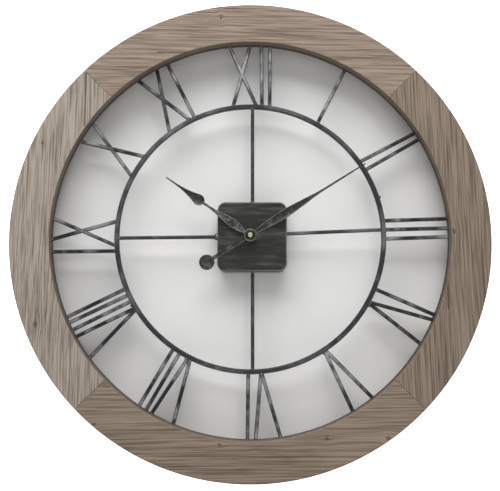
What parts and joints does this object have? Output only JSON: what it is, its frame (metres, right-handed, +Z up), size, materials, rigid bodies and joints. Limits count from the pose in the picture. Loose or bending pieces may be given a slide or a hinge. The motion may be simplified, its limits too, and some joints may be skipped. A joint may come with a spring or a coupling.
{
  "type": "wall clock",
  "caption": "Round open-dial wall clock: a mitred wooden ring holds a welded iron dial of Roman numerals, with spade hands on a boxed quartz movement.",
  "frame": {"origin": "centre of the dial on the wall plane, where the hands' axis meets the backing ring's rear face", "axes": "+Y into the wall, away from the reader; +Z up towards XII; +X to the reader's right, towards III"},
  "size_m": [0.6, 0.0426, 0.6],
  "materials": {
    "fir_boards": "weathered grey-brown fir, brushed grain, dull",
    "plywood": "raw birch plywood",
    "beech_biscuits": "pressed beech",
    "dial_iron": "dark lacquered iron with silver rubbed along its edges, satin",
    "box_iron": "dark olive black iron with cloudy rub marks, satin",
    "hand_steel": "dark hammered steel with pale rubbed rims",
    "arbor_steel": "turned steel",
    "zinc_steel": "bright zinc plate",
    "motor_iron": "soft iron lamination",
    "brass": "turned brass, bright",
    "copper_wire": "enamelled copper winding",
    "case_plastic": "black moulded plastic, fine texture",
    "gear_plastic": "white acetal",
    "gasket_rubber": "black rubber",
    "battery_jacket": "plain printed jacket with no name, and a bright cap",
    "circuit_board": "green circuit board"
  },
  "bodies": {
    "frame": {"board_top": "fir_boards", "board_bottom": "fir_boards", "board_left": "fir_boards", "board_right": "fir_boards", "mitre_biscuits": "beech_biscuits", "backing_ring": "plywood", "frame_screws": "zinc_steel", "hanger_plate": "zinc_steel", "hanger_screws": "zinc_steel", "iron_outer_ring": "dial_iron", "iron_inner_ring": "dial_iron", "numeral_xii": "dial_iron", "numeral_i": "dial_iron", "numeral_ii": "dial_iron", "numeral_iii": "dial_iron", "numeral_iv": "dial_iron", "numeral_v": "dial_iron", "numeral_vi": "dial_iron", "numeral_vii": "dial_iron", "numeral_viii": "dial_iron", "numeral_ix": "dial_iron", "numeral_x": "dial_iron", "numeral_xi": "dial_iron", "spoke_right": "dial_iron", "spoke_top": "dial_iron", "spoke_left": "dial_iron", "spoke_bottom": "dial_iron", "movement_box": "box_iron", "movement_front_case": "case_plastic", "movement_back_case": "case_plastic", "threaded_bush": "brass", "case_gasket": "gasket_rubber", "bush_washer": "brass", "bush_nut": "brass", "contact_plus": "zinc_steel", "contact_minus": "zinc_steel", "stator_plate": "motor_iron", "coil_core": "motor_iron", "coil_bobbin": "gear_plastic", "coil_winding": "copper_wire", "circuit_board": "circuit_board", "timing_chip": "case_plastic", "timing_crystal": "zinc_steel"},
    "minute_train": {"minute_arbor": "arbor_steel", "clutch_spring": "zinc_steel", "minute_hand": "hand_steel", "hand_nut": "brass"},
    "hour_train": {"hour_wheel": "gear_plastic", "hour_hand": "hand_steel"},
    "motion_wheel": {"motion_wheel": "gear_plastic"},
    "setting_knob": {"setting_knob": "case_plastic"},
    "centre_wheel": {"centre_wheel": "gear_plastic"},
    "third_wheel": {"third_wheel": "gear_plastic"},
    "second_wheel": {"second_wheel": "gear_plastic"},
    "fifth_wheel": {"fifth_wheel": "gear_plastic"},
    "rotor": {"rotor_arbor": "gear_plastic", "rotor_magnet": "motor_iron"},
    "battery": {"battery": "battery_jacket"}
  },
  "joints": [
    {"name": "minute_turn", "type": "hinge", "parent": "frame", "child": "minute_train", "pos_m": [0, -0.02, 0], "axis": [0, 1, 0], "continuous": true},
    {"name": "hour_turn", "type": "hinge", "parent": "frame", "child": "hour_train", "pos_m": [0, -0.02, 0], "axis": [0, 1, 0], "continuous": true},
    {"name": "motion_wheel_turn", "type": "hinge", "parent": "frame", "child": "motion_wheel", "pos_m": [-0.00955, -0.02, -0.001], "axis": [0, 1, 0], "continuous": true},
    {"name": "setting_knob_turn", "type": "hinge", "parent": "frame", "child": "setting_knob", "pos_m": [-0.01915, -0.02, -0.001], "axis": [0, 1, 0], "continuous": true},
    {"name": "second_wheel_turn", "type": "hinge", "parent": "frame", "child": "second_wheel", "pos_m": [-0.00205, -0.02, 0.01597], "axis": [0, 1, 0], "continuous": true},
    {"name": "third_wheel_turn", "type": "hinge", "parent": "frame", "child": "third_wheel", "pos_m": [-0.00715, -0.02, 0.00714], "axis": [0, 1, 0], "continuous": true},
    {"name": "centre_wheel_turn", "type": "hinge", "parent": "frame", "child": "centre_wheel", "pos_m": [0, -0.02, 0], "axis": [0, 1, 0], "continuous": true},
    {"name": "fifth_wheel_turn", "type": "hinge", "parent": "frame", "child": "fifth_wheel", "pos_m": [0.00545, -0.02, 0.01597], "axis": [0, 1, 0], "continuous": true},
    {"name": "rotor_turn", "type": "hinge", "parent": "frame", "child": "rotor", "pos_m": [0.01151, -0.02, 0.01247], "axis": [0, 1, 0], "continuous": true},
    {"name": "battery_lift", "type": "slide", "parent": "frame", "child": "battery", "axis": [0, 1, 0], "range_m": [0, 0.03]}
  ],
  "couplings": [
    {"joint": "motion_wheel_turn", "follows": "minute_turn", "ratio": -0.33333},
    {"joint": "hour_turn", "follows": "minute_turn", "ratio": 0.083333},
    {"joint": "setting_knob_turn", "follows": "minute_turn", "ratio": 1},
    {"joint": "third_wheel_turn", "follows": "second_wheel_turn", "ratio": -0.13333},
    {"joint": "centre_wheel_turn", "follows": "second_wheel_turn", "ratio": 0.016667},
    {"joint": "fifth_wheel_turn", "follows": "second_wheel_turn", "ratio": -5},
    {"joint": "rotor_turn", "follows": "second_wheel_turn", "ratio": 30}
  ]
}
